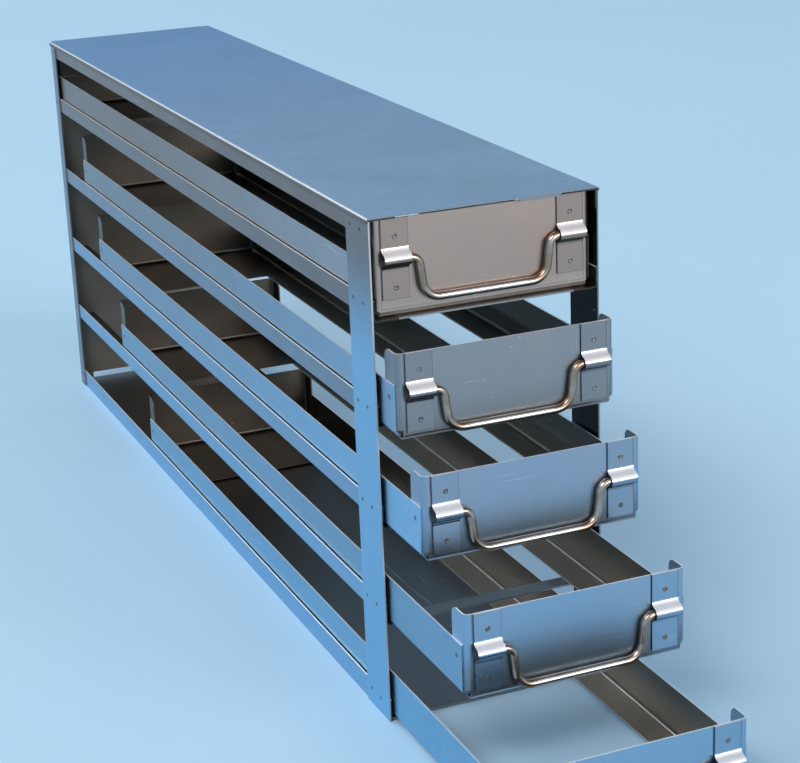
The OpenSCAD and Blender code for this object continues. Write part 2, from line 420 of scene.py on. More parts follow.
@dataclass(frozen=True)
class PaintedEdgeLight:
    """A band of a sheet, mostly a sheared edge or a bend, painted with the highlight or shade that it
    catches, and matter than the sheet's faces.
    """

    way: Way
    across: Span | None = None
    heights: Span | None = None
    soft: float = 0.05 * MM
    turn: Span = (0.45, 0.8)
    tone: Colour = (0.80, 0.80, 0.79)

    def mask(self, board: Surface) -> Channel:
        """Finds the edge.

        Args:
            board: The sheet's node board.

        Returns:
            1 on the edge and 0 away from it.
        """
        found = board.facing(self.way, *self.turn)
        if self.across:
            found = self._within(found, abs(board.axis(0)), self.across)
        if self.heights:
            found = self._within(found, board.axis(2), self.heights)
        return found

    def _within(self, found: Channel, place: Channel, span: Span) -> Channel:
        """Keeps only what lies in a span of places, with soft ends."""
        low, high = span
        return found * place.between(low - self.soft, low) * place.between(high + self.soft, high)


@dataclass(frozen=True)
class SpotMarks:
    """Flat rings that the spot welder's tips left on a level sheet."""

    places: tuple[Span, ...]
    radius: float = 1.3 * MM
    width: float = 0.4 * MM

    def mark(self, board: Surface) -> Channel:
        """Draws the rings.

        Args:
            board: The sheet's node board.

        Returns:
            1 on the rings and 0 away from them.
        """
        drawn = 0.0
        for x, y in self.places:
            across = board.axis(0) - x
            along = board.axis(1) - y
            away = board.sum_up("SQRT", across * across + along * along, 0.0)
            drawn = abs(away - self.radius).between(self.width, 0.0) + drawn
        return drawn


@dataclass(frozen=True)
class FoldHighlight:
    """The painted highlight along the inner fold between a wall and its ledge, where the bend catches the
    light.
    """

    low: float = 0.66
    high: float = 0.80
    soft: float = 0.04
    tone: Colour = (0.42, 0.38, 0.34)

    def mask(self, board: Surface) -> Channel:
        """Finds the line by how far the fold has turned up.

        Args:
            board: The sheet's node board.

        Returns:
            1 on the line and 0 away from it.
        """
        turned = board.facing(Way.UP, self.low - self.soft, self.low)
        return turned * (1.0 - board.facing(Way.UP, self.high, self.high + self.soft))


@dataclass(frozen=True)
class Layers:
    """The random patterns of one sheet, each from 0 to 1."""

    clouds: Channel
    smears: Channel
    specks: Channel
    grain: Channel
    scratches: Channel


@dataclass(frozen=True)
class SteelFinish:
    """Satin stainless sheet: rolled grain, speckle, handling marks and fine scratches, with painted
    reflection, shade, glints and highlights laid over its faces, edges and folds.
    """

    name: str
    clean: Colour
    dull: Colour
    grain: Grain = Grain.DEPTH
    roughness: float = 0.34
    speckle: float = 0.35
    streak: float = 0.35
    scratched: float = 0.5
    warmth: float = 0.0
    warm: Colour = (0.50, 0.34, 0.20)
    lines: PressAndShadowLines | None = None
    # The painted light of the sheet: reflection and shade along it, lit and shaded faces, and highlights
    # and shade on edges and folds.
    shading: Shading | None = None
    sides: tuple[tuple[Way, Colour], ...] = ()
    edges: tuple[PaintedEdgeLight, ...] = ()
    fold: FoldHighlight | None = None
    marks: SpotMarks | None = None
    relief: float = 1.0

    # The glint tone and ramp paint glints of light on the bright specks.
    glint_tone: ClassVar[Colour] = (0.86, 0.88, 0.90)
    scratch_tone: ClassVar[Colour] = (0.82, 0.84, 0.86)
    # The line tone paints shade into the press lines and shadow along the straps' edges.
    line_tone: ClassVar[Colour] = (0.10, 0.09, 0.09)
    ring_tone: ClassVar[Colour] = (0.09, 0.10, 0.12)
    cloud_ramp: ClassVar[Span] = (0.25, 0.75)
    smear_ramp: ClassVar[Span] = (0.35, 0.75)
    tint_ramp: ClassVar[Span] = (0.45, 0.8)
    glint_ramp: ClassVar[Span] = (0.70, 0.80)
    patch_ramp: ClassVar[Span] = (0.50, 0.66)
    first_ramp: ClassVar[Span] = (0.72, 0.76)
    second_ramp: ClassVar[Span] = (0.73, 0.77)
    fold_ramp: ClassVar[Span] = (0.2, 0.6)
    first_stretch: ClassVar[Point] = (1.0, 0.03, 1.0)
    first_slant: ClassVar[float] = 0.21
    second_stretch: ClassVar[Point] = (0.05, 1.0, 1.0)
    second_slant: ClassVar[float] = -0.46
    grain_stretch: ClassVar[float] = 0.012
    cloud_share: ClassVar[float] = 0.5
    smear_share: ClassVar[float] = 0.2
    glint_share: ClassVar[float] = 0.5
    scratch_share: ClassVar[float] = 0.55
    pressed_share: ClassVar[float] = 0.6
    edge_share: ClassVar[float] = 0.9
    side_dull: ClassVar[float] = 0.8
    fold_matt: ClassVar[float] = 0.35
    edge_matt: ClassVar[float] = 0.75
    cloud_rough: ClassVar[float] = 0.10
    smear_rough: ClassVar[float] = 0.06
    speck_rough: ClassVar[float] = 0.25
    speck_height: ClassVar[float] = 0.35
    grain_height: ClassVar[float] = 0.65
    scratch_depth: ClassVar[float] = 0.8
    line_depth: ClassVar[float] = 2.5
    ring_depth: ClassVar[float] = 4.0
    bump_depth: ClassVar[float] = 0.004 * MM

    def build(self) -> bpy.types.Material:
        """Makes the material.

        Returns:
            The finished material.
        """
        board = Surface(self.name)
        layers = self._layers(board)
        colour = self._wear_and_glints(board, layers, self._tone(board, layers))
        height = layers.specks * self.speck_height + layers.grain * self.grain_height
        height = height - layers.scratches * self.scratch_depth
        rough = self.roughness + layers.clouds.swing(self.cloud_rough)
        rough = rough + layers.smears.swing(self.smear_rough)
        rough = rough + layers.specks.swing(self.speck_rough * self.speckle)
        if self.lines:
            # Press lines in painted shade, or painted shadow along the straps' edges.
            press_and_shadow = self.lines.mark(board)
            colour = board.blend(press_and_shadow * self.pressed_share, colour, self.line_tone)
            height = height - press_and_shadow * self.line_depth
        if self.marks:
            rings = self.marks.mark(board)
            colour = board.blend(rings * self.pressed_share, colour, self.ring_tone)
            height = height - rings * self.ring_depth
        metal = 1.0
        # Painted highlight along the fold between a wall and its ledge.
        if self.fold:
            fold = self.fold.mask(board) * layers.smears.between(*self.fold_ramp)
            colour = board.blend(fold, colour, self.fold.tone)
            metal = 1.0 - fold * self.fold_matt
        # Painted highlight or shade on edges, bends and some faces.
        for edge in self.edges:
            edge_light = edge.mask(board)
            colour = board.blend(edge_light * self.edge_share, colour, edge.tone)
            metal = metal - edge_light * self.edge_matt
        return board.finish(colour, rough, height, self.bump_depth * self.relief, metal)

    def _layers(self, board: Surface) -> Layers:
        """Draws the sheet's random patterns.

        Args:
            board: The node board.

        Returns:
            The patterns.
        """
        along = [1.0, 1.0, 1.0]
        along[self.grain.value] = self.grain_stretch
        return Layers(
            clouds=board.draw(CLOUDS),
            smears=board.draw(SMEARS),
            specks=board.draw(SPECKS),
            grain=board.draw(GRAIN, board.stretched(tuple(along))),
            scratches=self._scratches(board),
        )

    def _scratches(self, board: Surface) -> Channel:
        """Scatters a few hair scratches along two slants.

        Args:
            board: The node board.

        Returns:
            1 on a scratch and 0 away from it.
        """
        patches = board.draw(SCRATCHED_PATCHES).between(*self.patch_ramp)
        first = board.draw(FIRST_SCRATCHES, board.stretched(self.first_stretch, self.first_slant))
        second = board.draw(SECOND_SCRATCHES, board.stretched(self.second_stretch, self.second_slant))
        both = first.between(*self.first_ramp) + second.between(*self.second_ramp)
        return both * patches * self.scratched

    def _tone(self, board: Surface, layers: Layers) -> bpy.types.NodeSocket:
        """Mixes the sheet's tones, with the painted reflection and shade that change along it and from
        face to face.

        Args:
            board: The node board.
            layers: The sheet's patterns.

        Returns:
            The colour socket.
        """
        share = layers.clouds.between(*self.cloud_ramp) * self.cloud_share
        share = share + layers.smears.between(*self.smear_ramp) * self.smear_share
        share = share + layers.specks.swing(self.speckle) + layers.grain.swing(self.streak)
        colour = board.blend(share, self.clean, self.dull)
        # Painted reflection and shade that change along the sheet.
        if self.shading:
            rise = board.axis(self.shading.axis).between(self.shading.foot, self.shading.top)
            colour = board.blend(1.0 - rise, colour, self.shading.foot_tone)
        # Lit and shaded faces: painted reflection and shade by the way each face looks.
        for way, tone in self.sides:
            darker = tuple(self.side_dull * c for c in tone)
            colour = board.blend(board.facing(way), colour, board.blend(share, tone, darker))
        return colour

    def _wear_and_glints(self, board: Surface, layers: Layers, colour: bpy.types.NodeSocket) -> bpy.types.NodeSocket:
        """Adds the warm tint of handling, the painted glints of the bright specks and the scratches.

        Args:
            board: The node board.
            layers: The sheet's patterns.
            colour: The sheet's own colour.

        Returns:
            The colour socket.
        """
        if self.warmth > 0:
            tint = board.draw(WARM_TINT).between(*self.tint_ramp) * self.warmth
            colour = board.blend(tint, colour, self.warm)
        glint = layers.specks.between(*self.glint_ramp) * (self.glint_share * self.speckle)
        colour = board.blend(glint, colour, self.glint_tone)
        return board.blend(layers.scratches * self.scratch_share, colour, self.scratch_tone)


@dataclass(frozen=True)
class WireFinish:
    """Bright drawn stainless wire, with a straw tint at its bends and along its lower run that is partly
    heat tint from bending and partly painted reflection of dark surroundings, and painted shade at its
    ends.
    """

    name: str
    pivot_height: float
    half_span: float
    clean: Colour = (0.60, 0.57, 0.535)
    dull: Colour = (0.36, 0.335, 0.31)
    straw: Colour = (0.27, 0.155, 0.09)
    end_shade_tone: Colour = (0.03, 0.03, 0.03)
    roughness: float = 0.25
    straw_rise: Span = (20 * MM, 34 * MM)
    straw_fall: Span = (55 * MM, 47 * MM)
    low_run: Span = (18 * MM, 25 * MM)
    end_band: Span = (0.5 * MM, 0.2 * MM)

    grain_stretch: ClassVar[Point] = (0.02, 1.0, 1.0)
    straw_ramp: ClassVar[Span] = (0.10, 0.60)
    dull_ramp: ClassVar[Span] = (0.3, 0.75)
    bend_share: ClassVar[float] = 0.8
    low_share: ClassVar[float] = 0.15
    cloud_share: ClassVar[float] = 0.6
    grain_share: ClassVar[float] = 0.25
    speck_rough: ClassVar[float] = 0.06
    cloud_rough: ClassVar[float] = 0.08
    grain_height: ClassVar[float] = 0.3
    speck_height: ClassVar[float] = 0.7
    bump_depth: ClassVar[float] = 0.002 * MM

    def build(self) -> bpy.types.Material:
        """Makes the material.

        Returns:
            The finished material.
        """
        board = Surface(self.name)
        across = abs(board.axis(0))
        drop = self.pivot_height - board.axis(2)
        grain = board.draw(WIRE_GRAIN, board.stretched(self.grain_stretch))
        specks = board.draw(SPECKS)
        clouds = board.draw(WIRE_CLOUDS)
        # The straw tint at the bends and on the lower run is partly heat tint and partly painted
        # reflection of dark surroundings.
        bends = across.between(*self.straw_rise) * across.between(*self.straw_fall)
        tint = bends * clouds.between(*self.straw_ramp) * self.bend_share
        tint = tint + drop.between(*self.low_run) * self.low_share
        dulled = clouds.between(*self.dull_ramp) * self.cloud_share + grain.swing(self.grain_share)
        colour = board.blend(dulled, self.clean, self.dull)
        colour = board.blend(tint, colour, self.straw)
        # Painted shade on the wire's ends, which sit inside the strap loops.
        end = across.between(self.half_span - self.end_band[0], self.half_span - self.end_band[1])
        colour = board.blend(end, colour, self.end_shade_tone)
        rough = self.roughness + specks.swing(self.speck_rough) + clouds.swing(self.cloud_rough)
        height = grain * self.grain_height + specks * self.speck_height
        return board.finish(colour, rough, height, self.bump_depth, metal=1.0)


@dataclass(frozen=True)
class WeldFinish:
    """The ring and the dull dimple that a spot welder's tip leaves."""

    name: str
    clean: Colour = (0.24, 0.23, 0.23)
    burnt: Colour = (0.07, 0.065, 0.06)
    roughness: float = 0.36

    burnt_ramp: ClassVar[Span] = (0.3, 0.7)
    speck_rough: ClassVar[float] = 0.2
    cloud_height: ClassVar[float] = 0.6
    speck_height: ClassVar[float] = 0.4
    bump_depth: ClassVar[float] = 0.01 * MM

    def build(self) -> bpy.types.Material:
        """Makes the material.

        Returns:
            The finished material.
        """
        board = Surface(self.name)
        clouds = board.draw(WELD_CLOUDS)
        specks = board.draw(WELD_SPECKS)
        colour = board.blend(clouds.between(*self.burnt_ramp), self.clean, self.burnt)
        rough = self.roughness + specks.swing(self.speck_rough)
        height = clouds * self.cloud_height + specks * self.speck_height
        return board.finish(colour, rough, height, self.bump_depth, metal=1.0)


@dataclass
class SpotWelds:
    """A group of spot welds on one body."""

    name: str
    body: str
    slot: str
    finish: bpy.types.Material
    ring_r: float
    places: list[tuple[Vector, Facing]] = field(default_factory=list)
    ring_h: float = 0.16 * MM
    dimple_r: float = 0.85 * MM
    rooted: float = 0.12 * MM
    merged: float = 0.001 * MM
    steps: int = 20

    # Shares of the radius and of the ring's height, from the ring's shoulder into the dimple.
    ring_shares: ClassVar[tuple[Span, ...]] = ((0.86, 0.7), (0.75, 1.0))
    dimple_shares: ClassVar[tuple[Span, ...]] = ((1.0, 0.75), (0.7, 0.25))
    middle_share: ClassVar[float] = 0.12

    def put(self, x: float, y: float, z: float, facing: Facing) -> None:
        """Marks the place of one weld on a sheet's face."""
        self.places.append((Vector((x, y, z)), facing))

    def _single(self) -> bpy.types.Mesh:
        """Turns the section of one weld about its axis.

        Returns:
            A closed dimple that stands upright at the origin.
        """
        section = [(0.0, -self.rooted), (self.ring_r, -self.rooted), (self.ring_r, 0.0)]
        section += [(share * self.ring_r, rise * self.ring_h) for share, rise in self.ring_shares]
        section += [(share * self.dimple_r, rise * self.ring_h) for share, rise in self.dimple_shares]
        section += [(0.0, self.middle_share * self.ring_h)]
        shape = bmesh.new()
        points = [shape.verts.new((radius, 0.0, height)) for radius, height in section]
        edges = [shape.edges.new(pair) for pair in zip(points, points[1:])]
        bmesh.ops.spin(
            shape,
            geom=points + edges,
            cent=(0, 0, 0),
            axis=(0, 0, 1),
            dvec=(0, 0, 0),
            angle=math.tau,
            steps=self.steps,
            use_merge=True,
            use_duplicate=False,
        )
        bmesh.ops.remove_doubles(shape, verts=shape.verts, dist=self.merged)
        bmesh.ops.recalc_face_normals(shape, faces=shape.faces)
        self._settle(shape)
        single = bpy.data.meshes.new(f"{self.name}_single")
        shape.to_mesh(single)
        shape.free()
        return single

    def _settle(self, shape: bmesh.types.BMesh) -> None:
        """Sorts the corners and the faces by place, so that their order is the same each time.

        Args:
            shape: The weld's mesh.
        """
        places = {part: part.co for part in shape.verts}
        places.update((part, part.calc_center_median()) for part in shape.faces)
        for parts in (shape.verts, shape.faces):
            ranked = sorted(parts, key=lambda part: [round(c / self.merged) for c in places[part]])
            for number, part in enumerate(ranked):
                part.index = number
            parts.sort()

    def build(self) -> None:
        """Models all the welds of the group as one piece."""
        group = bmesh.new()
        single = self._single()
        for place, facing in self.places:
            weld = single.copy()
            weld.transform(Matrix.Translation(place) @ facing.turn())
            group.from_mesh(weld)
            bpy.data.meshes.remove(weld)
        bpy.data.meshes.remove(single)
        mesh = bpy.data.meshes.new(self.name)
        group.to_mesh(mesh)
        group.free()
        mesh.shade_smooth()
        piece = bpy.data.objects.new(self.name, mesh)
        bpy.context.scene.collection.objects.link(piece)
        piece.data.materials.append(self.finish)
        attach(piece, self.body)
        LOG.info("%s: %d spot welds on %s", self.name, len(self.places), self.body)


def dress(node: str, material: bpy.types.Material) -> None:
    """Gives a solid of the frame its finish.

    Args:
        node: The solid's name.
        material: Its material.
    """
    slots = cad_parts[node].data.materials
    slots.clear()
    slots.append(material)
    LOG.info("%s: %s", node, material.name)


def wall_top(node: str) -> Span:
    """The band of a right wall's sheared upper edge, by its distance from the middle."""
    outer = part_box(node)[1].x
    return outer - SHEET - TOP_SLACK, outer + TOP_SLACK


def ledge_tip(node: str) -> Span:
    """The band of a right wall's sheared ledge, by its distance from the middle."""
    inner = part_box(node)[0].x
    return inner - TIP_SLACK, inner + TIP_SLACK


# The base plate darkens towards the rear with painted shade, and its outer faces take a painted blue
# reflection.
BASE_STEEL = SteelFinish(
    "base_satin",
    clean=(0.25, 0.26, 0.27),
    dull=(0.18, 0.185, 0.19),
    roughness=0.38,
    warmth=0.25,
    warm=(0.14, 0.11, 0.08),
    shading=Shading(0.05, -0.25, (0.085, 0.075, 0.065), axis=1),
    sides=((Way.OUTWARD, (0.25, 0.45, 0.64)),),
)
# The back panel has painted shade on its outer faces and painted warm light on its inner face, which
# stands in shade.
BACK_STEEL = SteelFinish(
    "back_satin",
    clean=(0.34, 0.40, 0.46),
    dull=(0.26, 0.30, 0.35),
    grain=Grain.UPRIGHT,
    roughness=0.36,
    warmth=0.15,
    sides=((Way.OUTWARD, (0.24, 0.30, 0.38)),),
    edges=(PaintedEdgeLight(Way.FRONT, tone=(0.22, 0.18, 0.14)),),
)
TIE_STEEL = SteelFinish(
    "tie_satin",
    clean=(0.30, 0.31, 0.32),
    dull=(0.22, 0.23, 0.24),
    grain=Grain.ACROSS,
    warmth=0.3,
)
# The drawers' rears and floor plates are painted dark brown as the shade inside the rack.
REAR_STEEL = SteelFinish(
    "rear_satin",
    clean=(0.12, 0.108, 0.092),
    dull=(0.08, 0.072, 0.062),
    grain=Grain.ACROSS,
    roughness=0.36,
    warmth=0.2,
    warm=(0.18, 0.13, 0.09),
)

# The inner face and the front edge of each post: the left one catches the light, the right one doesn't.
POST_INSIDES: dict[Side, tuple[Colour, Colour]] = {
    Side.LEFT: ((0.26, 0.24, 0.225), (0.46, 0.43, 0.41)),
    Side.RIGHT: ((0.02, 0.025, 0.03), (0.10, 0.11, 0.12)),
}


@dataclass
class RackFrame:
    """Cover, base, back, posts, rails and ties."""

    weld_finish: bpy.types.Material
    weld_ring: float = 1.2 * MM
    weld_depths: Span = (12.5 * MM, 26.5 * MM)
    weld_rise: float = 8.4 * MM
    top_weld_drop: float = 7.5 * MM
    rear_weld_in: float = 7.0 * MM
    cover_bend: float = 0.75 * MM
    cover_marks: tuple[Span, ...] = ((-52.0, 14.7), (60.0, 20.9), (-52.0, 857.0), (58.0, 851.0))

    def build(self) -> None:
        """Dresses the frame's sheets and adds its spot welds."""
        rail = self._rail_finish()
        tie = TIE_STEEL.build()
        dress("top_cover", self._cover_finish())
        dress("base_plate", BASE_STEEL.build())
        dress("back_panel", BACK_STEEL.build())
        for side in Side:
            dress(f"{side.word}_front_post", self._post_finish(side))
            dress(f"{side.word}_top_rail", rail)
            dress(f"{side.word}_foot_rail", rail)
            for level in range(1, RAIL_LEVELS + 1):
                dress(f"{side.word}_rail_{level}", rail)
        for level in range(1, RAIL_LEVELS + 1):
            dress(f"front_tie_{level}", tie)
        self._welds()

    def _cover_finish(self) -> bpy.types.Material:
        """Makes the cover's finish, with painted reflection that deepens to blue at the rear and on its
        lip and front edge, its weld marks and painted highlights on its bends.

        Returns:
            The finished material.
        """
        low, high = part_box("top_cover")
        bent = (high.x - self.cover_bend, high.x)
        finish = SteelFinish(
            "cover_satin",
            clean=(0.34, 0.46, 0.61),
            dull=(0.27, 0.37, 0.50),
            grain=Grain.ACROSS,
            roughness=0.40,
            speckle=0.9,
            streak=0.18,
            scratched=0.45,
            shading=Shading(0.42, -0.25, (0.13, 0.285, 0.51), axis=1),
            sides=((Way.OUTWARD, (0.20, 0.15, 0.135)), (Way.FRONT, (0.20, 0.22, 0.25))),
            marks=SpotMarks(tuple((x * MM, low.y + depth * MM) for x, depth in self.cover_marks)),
            edges=(PaintedEdgeLight(Way.UP, bent, turn=(0.3, 0.6), tone=(0.62, 0.60, 0.58)),),
        )
        return finish.build()

    def _rail_finish(self) -> bpy.types.Material:
        """Makes the rails' finish, with painted reflection that turns from taupe at the top to blue at
        the foot, painted highlights on the sheared edges and painted shade on the inside and front faces.

        Returns:
            The finished material.
        """
        finish = SteelFinish(
            "rail_satin",
            clean=(0.23, 0.172, 0.155),
            dull=(0.19, 0.143, 0.129),
            roughness=0.32,
            speckle=0.3,
            shading=Shading(0.06, 0.285, (0.25, 0.47, 0.68)),
            sides=(
                (Way.INWARD, (0.065, 0.058, 0.05)),
                (Way.UP, (0.13, 0.118, 0.10)),
                (Way.FRONT, (0.05, 0.05, 0.05)),
            ),
            edges=(
                PaintedEdgeLight(Way.UP, wall_top("right_rail_1"), tone=(0.92, 0.91, 0.90)),
                PaintedEdgeLight(Way.INWARD, ledge_tip("right_rail_1"), tone=(0.42, 0.40, 0.38)),
            ),
        )
        return finish.build()

    def _post_finish(self, side: Side) -> bpy.types.Material:
        """Makes the finish of one post, with painted reflection from taupe at the top to blue below, and
        painted light or shade on its inner face and front edge.

        Args:
            side: The side of the rack.

        Returns:
            The finished material.
        """
        inside, edge = POST_INSIDES[side]
        finish = SteelFinish(
            f"{side.word}_post_satin",
            clean=(0.225, 0.20, 0.195),
            dull=(0.19, 0.168, 0.164),
            grain=Grain.UPRIGHT,
            speckle=0.3,
            streak=0.3,
            shading=Shading(0.205, 0.285, (0.25, 0.51, 0.74)),
            sides=((Way.INWARD, inside),),
            edges=(PaintedEdgeLight(Way.FRONT, tone=edge),),
        )
        return finish.build()

    def _welds(self) -> None:
        """Puts a pair of welds where each rail meets its post, and one on the back panel's flange."""
        welds = SpotWelds("frame_spot_welds", "frame", "frame_steel", self.weld_finish, self.weld_ring)
        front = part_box("left_front_post")[0].y
        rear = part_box("back_panel")[1].y
        for side in Side:
            rails = [f"{side.word}_rail_{level}" for level in range(1, RAIL_LEVELS + 1)]
            heights = [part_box(node)[0].z + self.weld_rise for node in (*rails, "base_plate")]
            heights.append(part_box(f"{side.word}_top_rail")[1].z - self.top_weld_drop)
            for height in heights:
                for depth in self.weld_depths:
                    welds.put(side.outer_x(f"{side.word}_front_post"), front + depth, height, side.facing)
            for height in heights:
                welds.put(side.outer_x("back_panel"), rear - self.rear_weld_in, height, side.facing)
        welds.build()


@dataclass(frozen=True)
class DrawerTones:
    """The tones of one drawer's sheets; they differ from drawer to drawer as painted reflection on the
    front and walls, with painted reflection at the front's foot and the walls' rear, and painted shade
    inside.
    """

    front: Colour
    front_dull: Colour
    foot: Colour
    foot_share: float
    wall: Colour
    wall_rear: Colour
    inner_share: float


DRAWER_TONES = (
    DrawerTones(
        front=(0.37, 0.285, 0.245),
        front_dull=(0.31, 0.235, 0.20),
        foot=(0.40, 0.33, 0.29),
        foot_share=0.25,
        wall=(0.38, 0.40, 0.44),
        wall_rear=(0.24, 0.18, 0.163),
        inner_share=0.3,
    ),
    DrawerTones(
        front=(0.27, 0.285, 0.31),
        front_dull=(0.23, 0.245, 0.27),
        foot=(0.22, 0.22, 0.22),
        foot_share=0.5,
        wall=(0.28, 0.44, 0.60),
        wall_rear=(0.23, 0.26, 0.29),
        inner_share=0.6,
    ),
    DrawerTones(
        front=(0.30, 0.395, 0.505),
        front_dull=(0.26, 0.34, 0.44),
        foot=(0.15, 0.175, 0.195),
        foot_share=0.6,
        wall=(0.29, 0.56, 0.80),
        wall_rear=(0.23, 0.33, 0.43),
        inner_share=0.8,
    ),
    DrawerTones(
        front=(0.305, 0.465, 0.63),
        front_dull=(0.26, 0.40, 0.545),
        foot=(0.165, 0.195, 0.225),
        foot_share=0.75,
        wall=(0.235, 0.42, 0.58),
        wall_rear=(0.22, 0.40, 0.56),
        inner_share=1.0,
    ),
    DrawerTones(
        front=(0.30, 0.49, 0.67),
        front_dull=(0.255, 0.42, 0.575),
        foot=(0.17, 0.21, 0.25),
        foot_share=0.7,
        wall=(0.23, 0.49, 0.69),
        wall_rear=(0.22, 0.44, 0.62),
        inner_share=1.0,
    ),
)


@dataclass
class Drawer:
    """One drawer: side walls, front, rear with its floor plate, straps and their welds."""

    number: int
    tones: DrawerTones
    rear_finish: bpy.types.Material
    weld_finish: bpy.types.Material
    weld_ring: float = 1.55 * MM
    strap_top_weld: float = 9.6 * MM
    strap_foot_weld: float = 6.7 * MM
    wall_weld_in: float = 6.4 * MM
    wall_weld_rise: float = 21.0 * MM

    wall_dull: ClassVar[float] = 0.82
    # The inside of each drawer gets a warm painted shade: its cast, and its strength on the walls' inner
    # faces and on the ledges.
    inner_cast: ClassVar[Colour] = (1.0, 0.93, 0.82)
    inner_face: ClassVar[float] = 0.17
    inner_ledge: ClassVar[float] = 0.45
    strap_cast: ClassVar[Colour] = (1.12, 1.02, 0.97)
    strap_dull: ClassVar[float] = 0.85

    @property
    def body(self) -> str:
        """The name of the drawer's body."""
        return f"drawer_{self.number}"

    def build(self) -> None:
        """Dresses the drawer's sheets and adds its spot welds."""
        dress(f"{self.body}_front", self._front_finish())
        dress(f"{self.body}_rear", self.rear_finish)
        wall = self._wall_finish()
        strap = self._strap_finish()
        for side in Side:
            dress(f"{self.body}_{side.word}_wall", wall)
            dress(f"{self.body}_{side.word}_strap", strap)
        self._welds()

    def _wall_finish(self) -> bpy.types.Material:
        """Makes the finish of the two side walls, with painted reflection outside that changes to the
        rear, painted shade inside and on the ledges, and painted highlights on the sheared edges and the
        fold.

        Returns:
            The finished material.
        """
        node = f"{self.body}_right_wall"
        finish = SteelFinish(
            f"wall_{self.number}_satin",
            clean=self.tones.wall,
            dull=tuple(self.wall_dull * c for c in self.tones.wall),
            roughness=0.30,
            speckle=0.3,
            shading=Shading(0.25, -0.35, self.tones.wall_rear, axis=1),
            sides=((Way.INWARD, self._inner(self.inner_face)), (Way.UP, self._inner(self.inner_ledge))),
            edges=(
                PaintedEdgeLight(Way.UP, wall_top(node), tone=(0.68, 0.74, 0.80)),
                PaintedEdgeLight(Way.INWARD, ledge_tip(node), tone=(0.50, 0.48, 0.46)),
            ),
            fold=FoldHighlight(),
        )
        return finish.build()

    def _inner(self, brightness: float) -> Colour:
        """Makes the warm painted shade of this drawer's inside.

        Args:
            brightness: Its red value on the lowest drawers.

        Returns:
            The tone for this drawer.
        """
        return tuple(self.tones.inner_share * brightness * share for share in self.inner_cast)

    def _strap_finish(self) -> bpy.types.Material:
        """Makes the finish of the two straps over the panel's tone, with painted highlights on the loops
        and painted shadow on their sides, under them and along their edges.

        Returns:
            The finished material.
        """
        low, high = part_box(f"{self.body}_right_strap")
        finish = SteelFinish(
            f"strap_{self.number}_bright",
            clean=tuple(share * c for share, c in zip(self.strap_cast, self.tones.front)),
            dull=tuple(self.strap_dull * c for c in self.tones.front),
            grain=Grain.ACROSS,
            roughness=0.25,
            speckle=0.12,
            streak=0.06,
            scratched=0.15,
            relief=0.25,
            sides=((Way.SIDEWAYS, (0.05, 0.05, 0.05)), (Way.DOWN, (0.07, 0.06, 0.06))),
            edges=(PaintedEdgeLight(Way.UP, turn=(0.02, 0.50), tone=(0.70, 0.67, 0.685)),),
            lines=PressAndShadowLines(low.x, high.x, low.z, inset=0.2 * MM, width=0.26 * MM, mirrored=True),
        )
        return finish.build()

    def _front_finish(self) -> bpy.types.Material:
        """Makes the front panel's finish, with its press lines in painted shade, painted reflection
        towards its foot, painted shade on its back and painted highlights on its top edge and lower bend.

        Returns:
            The finished material.
        """
        low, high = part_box(f"{self.body}_front")
        shaded_to = low.z + self.tones.foot_share * (high.z - low.z)
        finish = SteelFinish(
            f"front_{self.number}_satin",
            clean=self.tones.front,
            dull=self.tones.front_dull,
            grain=Grain.ACROSS,
            roughness=0.33,
            speckle=0.7,
            streak=0.15,
            scratched=0.35,
            warmth=0.15,
            lines=PressAndShadowLines(low.x, high.x, low.z),
            shading=Shading(low.z, shaded_to, self.tones.foot),
            sides=((Way.REAR, (0.15, 0.15, 0.15)),),
            edges=(
                PaintedEdgeLight(Way.UP, heights=(high.z - TIP_SLACK, high.z + TIP_SLACK)),
                PaintedEdgeLight(Way.DOWN, turn=(0.2, 0.6), tone=self.tones.front),
            ),
        )
        return finish.build()

    def _welds(self) -> None:
        """Puts two welds on each strap and one at each end of each wall."""
        name = f"{self.body}_spot_welds"
        welds = SpotWelds(name, self.body, "strap_steel", self.weld_finish, self.weld_ring)
        for side in Side:
            low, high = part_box(f"{self.body}_{side.word}_strap")
            middle = (low.x + high.x) / 2
            for height in (high.z - self.strap_top_weld, low.z + self.strap_foot_weld):
                welds.put(middle, high.y - SHEET, height, Facing.FRONT)
            low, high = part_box(f"{self.body}_{side.word}_wall")
            outer = side.outer_x(f"{self.body}_{side.word}_wall")
            for depth in (low.y + self.wall_weld_in, high.y - self.wall_weld_in):
                welds.put(outer, depth, low.z + self.wall_weld_rise, side.facing)
        welds.build()


@dataclass
class Handle:
    """One drop handle of bent wire."""

    number: int

    def build(self) -> None:
        """Gives the wire its finish."""
        node = f"drawer_{self.number}_handle"
        low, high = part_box(node)
        radius = (high.y - low.y) / 2
        dress(node, WireFinish(f"wire_{self.number}_bright", high.z - radius, high.x).build())


@dataclass
class Lamp:
    """One soft box that looks at a point of the rack."""

    name: str
    place: Point
    aim: Point
    width: float
    height: float
    power: float
    colour: Colour = (1.0, 1.0, 1.0)

    def build(self) -> None:
        """Adds the lamp to the scene."""
        data = bpy.data.lights.new(self.name, "AREA")
        data.shape = "RECTANGLE"
        data.size = self.width
        data.size_y = self.height
        data.energy = self.power
        data.color = self.colour
        lamp = bpy.data.objects.new(self.name, data)
        lamp.visible_camera = False
        lamp.location = self.place
        lamp.rotation_euler = (Vector(self.aim) - Vector(self.place)).to_track_quat("-Z", "Y").to_euler()
        bpy.context.scene.collection.objects.link(lamp)


